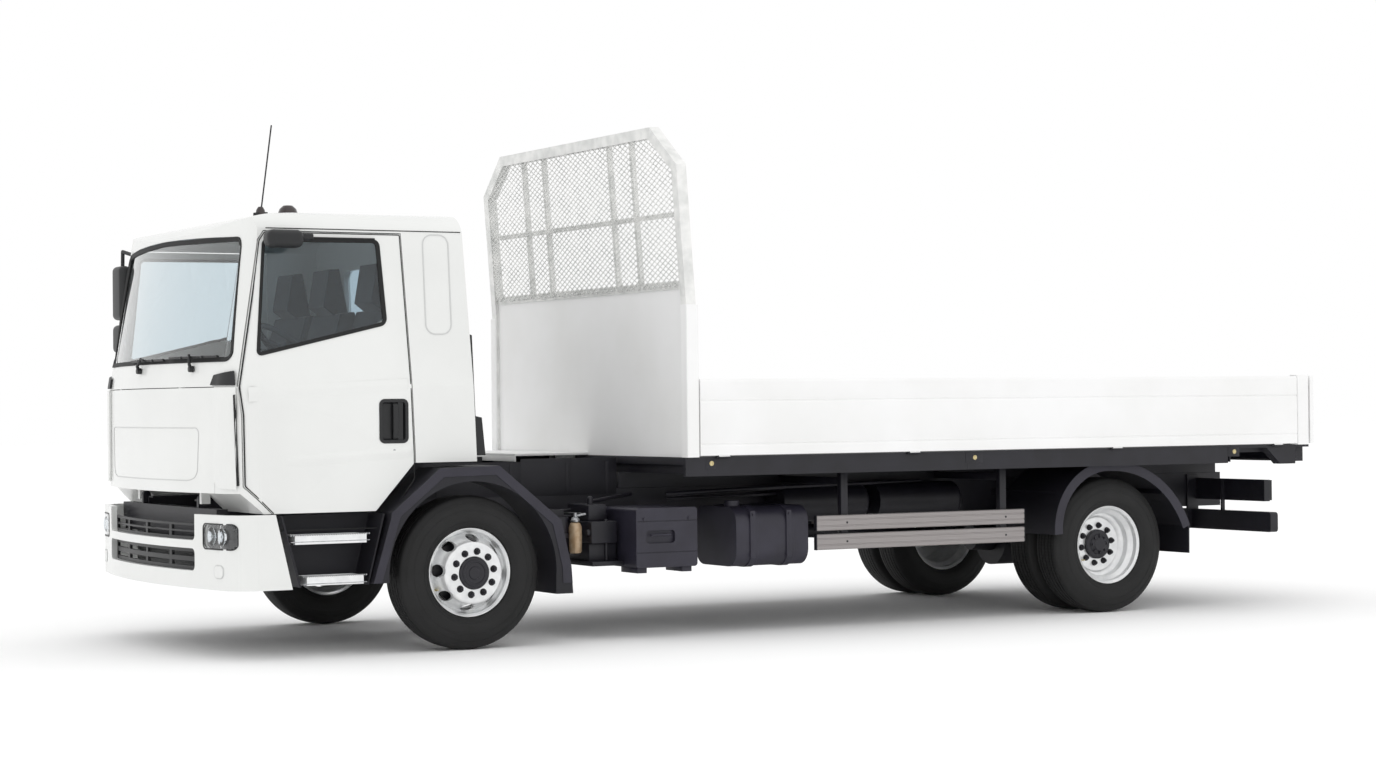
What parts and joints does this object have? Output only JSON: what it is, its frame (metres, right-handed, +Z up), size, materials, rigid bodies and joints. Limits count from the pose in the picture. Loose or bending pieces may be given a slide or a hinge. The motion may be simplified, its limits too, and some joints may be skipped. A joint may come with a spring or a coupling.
{
  "type": "flatbed truck",
  "caption": "Two-axle flatbed truck: tilting day cab with opening doors, steered front wheels, twin rear wheels, mesh-screened headboard and drop sides.",
  "frame": {"origin": "On the floor, midway along the length and the width of the truck.", "axes": "+Z up; +X towards the tail, so the cab faces -X; -Y is the truck's left side."},
  "size_m": [7.115, 2.5, 2.8021],
  "materials": {
    "white_paint": "white gloss paint",
    "chassis_paint": "dark blue-grey chassis paint, semi-gloss",
    "black_plastic": "grained black plastic",
    "floor_board": "brown coated plywood in a painted edge",
    "aluminium": "mill-finished aluminium",
    "wheel_paint": "silver wheel paint",
    "tyre_rubber": "black tyre rubber",
    "window_glass": "lightly tinted glass",
    "lamp_lens": "clear lamp lens",
    "tail_lens": "red and amber lens",
    "seat_cloth": "dark blue-grey seat cloth"
  },
  "bodies": {
    "chassis": {"chassis_frame": "chassis_paint", "body_subframe": "chassis_paint", "load_floor": "floor_board", "headboard": "white_paint", "screen_mesh": "white_paint", "rear_posts": "white_paint", "bumper": "white_paint", "bumper_grille": "black_plastic", "headlamps": "lamp_lens", "step_housings": "black_plastic", "step_treads": "aluminium", "front_mudguards": "black_plastic", "rear_mudguards": "black_plastic", "fuel_tank": "chassis_paint", "battery_box": "chassis_paint", "air_tanks": "chassis_paint", "air_dryer": "chassis_paint", "silencer": "chassis_paint", "side_guards": "aluminium", "rear_bars": "chassis_paint", "tail_lamps": "tail_lens", "towing_jaw": "chassis_paint", "catwalk": "aluminium", "front_axle": "chassis_paint", "rear_axle": "chassis_paint", "leaf_springs": "chassis_paint", "engine_block": "chassis_paint"},
    "cab": {"cab_shell": "white_paint", "cab_roof": "white_paint", "front_panel": "white_paint", "windscreen": "window_glass", "rear_window": "window_glass", "corner_panels": "white_paint", "corner_trims": "black_plastic", "intake_duct": "black_plastic", "seats": "seat_cloth", "dashboard": "black_plastic", "steering_wheel": "black_plastic", "wipers": "black_plastic", "roof_fittings": "black_plastic"},
    "door_left": {"door_left": "white_paint", "door_glass_left": "window_glass", "kerb_mirror": "black_plastic"},
    "door_right": {"door_right": "white_paint", "door_glass_right": "window_glass", "mirror_right": "black_plastic"},
    "steer_left": {"knuckle_left": "chassis_paint"},
    "steer_right": {"knuckle_right": "chassis_paint"},
    "wheel_front_left": {"wheel_front_left": "wheel_paint", "tyre_front_left": "tyre_rubber"},
    "wheel_front_right": {"wheel_front_right": "wheel_paint", "tyre_front_right": "tyre_rubber"},
    "wheels_rear_left": {"wheels_rear_left": "wheel_paint", "tyres_rear_left": "tyre_rubber"},
    "wheels_rear_right": {"wheels_rear_right": "wheel_paint", "tyres_rear_right": "tyre_rubber"},
    "side_board_left": {"side_board_left": "white_paint"},
    "side_board_right": {"side_board_right": "white_paint"},
    "tailboard": {"tailboard": "white_paint"}
  },
  "joints": [
    {"name": "cab_tilt", "type": "hinge", "parent": "chassis", "child": "cab", "pos_m": [-3.3775, 0, 0.805], "axis": [0, -1, 0], "range_deg": [0, 50]},
    {"name": "door_left_swing", "type": "hinge", "parent": "cab", "child": "door_left", "pos_m": [-3.3635, -1.044, 1.2], "axis": [0, 0, -1], "range_deg": [0, 70]},
    {"name": "door_right_swing", "type": "hinge", "parent": "cab", "child": "door_right", "pos_m": [-3.3635, 1.044, 1.2], "axis": [0, 0, 1], "range_deg": [0, 70]},
    {"name": "steer_left_turn", "type": "hinge", "parent": "chassis", "child": "steer_left", "pos_m": [-2.1375, -0.872, 0.405], "axis": [0, 0, 1], "range_deg": [-38, 38]},
    {"name": "steer_right_turn", "type": "hinge", "parent": "chassis", "child": "steer_right", "pos_m": [-2.1375, 0.872, 0.405], "axis": [0, 0, 1], "range_deg": [-38, 38]},
    {"name": "front_left_spin", "type": "hinge", "parent": "steer_left", "child": "wheel_front_left", "pos_m": [-2.1375, -1, 0.405], "axis": [0, 1, 0], "continuous": true},
    {"name": "front_right_spin", "type": "hinge", "parent": "steer_right", "child": "wheel_front_right", "pos_m": [-2.1375, 1, 0.405], "axis": [0, 1, 0], "continuous": true},
    {"name": "rear_left_spin", "type": "hinge", "parent": "chassis", "child": "wheels_rear_left", "pos_m": [2.0625, -0.87, 0.405], "axis": [0, 1, 0], "continuous": true},
    {"name": "rear_right_spin", "type": "hinge", "parent": "chassis", "child": "wheels_rear_right", "pos_m": [2.0625, 0.87, 0.405], "axis": [0, 1, 0], "continuous": true},
    {"name": "side_board_left_drop", "type": "hinge", "parent": "chassis", "child": "side_board_left", "pos_m": [1.3575, -1.24, 0.985], "axis": [1, 0, 0], "range_deg": [0, 175]},
    {"name": "side_board_right_drop", "type": "hinge", "parent": "chassis", "child": "side_board_right", "pos_m": [1.3575, 1.24, 0.985], "axis": [-1, 0, 0], "range_deg": [0, 175]},
    {"name": "tailboard_drop", "type": "hinge", "parent": "chassis", "child": "tailboard", "pos_m": [3.5475, 0, 0.985], "axis": [0, 1, 0], "range_deg": [0, 175]}
  ],
  "couplings": [
    {"joint": "steer_right_turn", "follows": "steer_left_turn", "ratio": 1}
  ]
}
